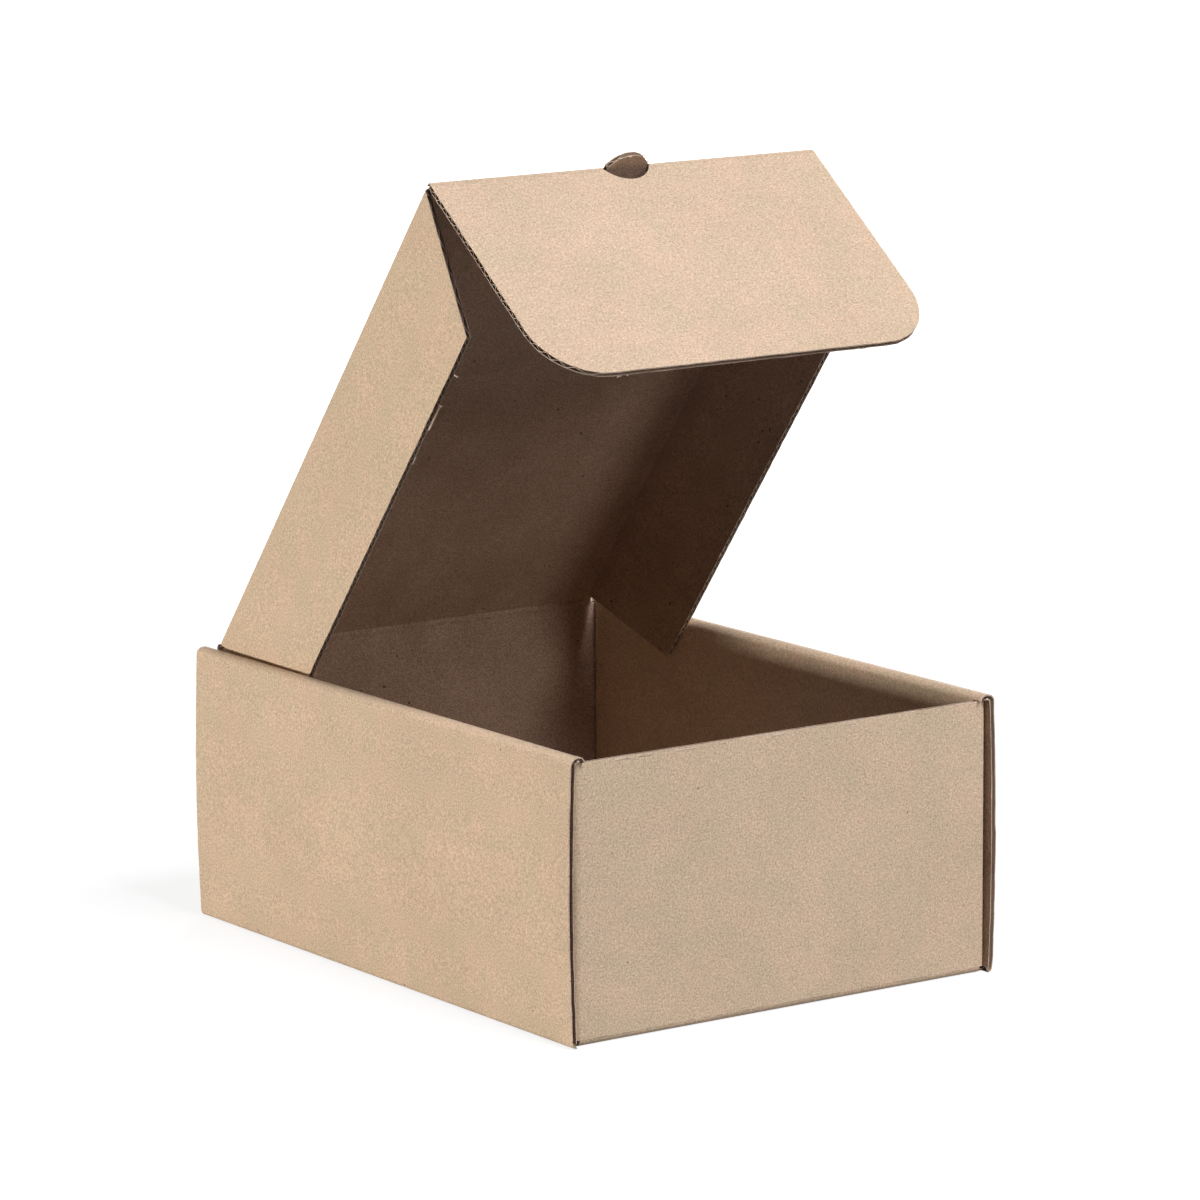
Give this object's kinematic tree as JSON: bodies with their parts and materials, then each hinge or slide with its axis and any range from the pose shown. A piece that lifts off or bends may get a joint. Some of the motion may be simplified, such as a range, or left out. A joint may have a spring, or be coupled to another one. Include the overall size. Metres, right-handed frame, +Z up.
{
  "type": "roll-end tuck-front cardboard mailer box",
  "caption": "Small plain corrugated mailer box standing open, with rolled double side walls, a hinged lid, side wings and a tuck flap with a thumb tab.",
  "frame": {"origin": "centre of the footprint, on the surface the box stands on", "axes": "+X to the right along the front wall, +Y from the front wall to the hinged back wall, +Z up"},
  "size_m": [0.1458, 0.19, 0.2298],
  "materials": {
    "kraft_board": "plain brown kraft liner, matt, greyer inside"
  },
  "bodies": {
    "tray": {"tray": "kraft_board"},
    "lid": {"lid": "kraft_board"},
    "left_wing": {"left_wing": "kraft_board"},
    "right_wing": {"right_wing": "kraft_board"},
    "tuck_flap": {"tuck_flap": "kraft_board"}
  },
  "joints": [
    {"name": "lid_hinge", "type": "hinge", "parent": "tray", "child": "lid", "pos_m": [0, 0.0936, 0.07962], "axis": [-1, 0, 0], "range_deg": [-52.3, 152]},
    {"name": "tuck_fold", "type": "hinge", "parent": "lid", "child": "tuck_flap", "pos_m": [0, -0.01959, 0.22607], "axis": [1, 0, 0], "range_deg": [-90, 19]},
    {"name": "left_wing_fold", "type": "hinge", "parent": "lid", "child": "left_wing", "pos_m": [-0.0642, 0.09233, 0.07864], "axis": [0, -0.6115, 0.7912], "range_deg": [0, 90]},
    {"name": "right_wing_fold", "type": "hinge", "parent": "lid", "child": "right_wing", "pos_m": [0.0642, 0.09233, 0.07864], "axis": [0, 0.6115, -0.7912], "range_deg": [0, 90]}
  ]
}
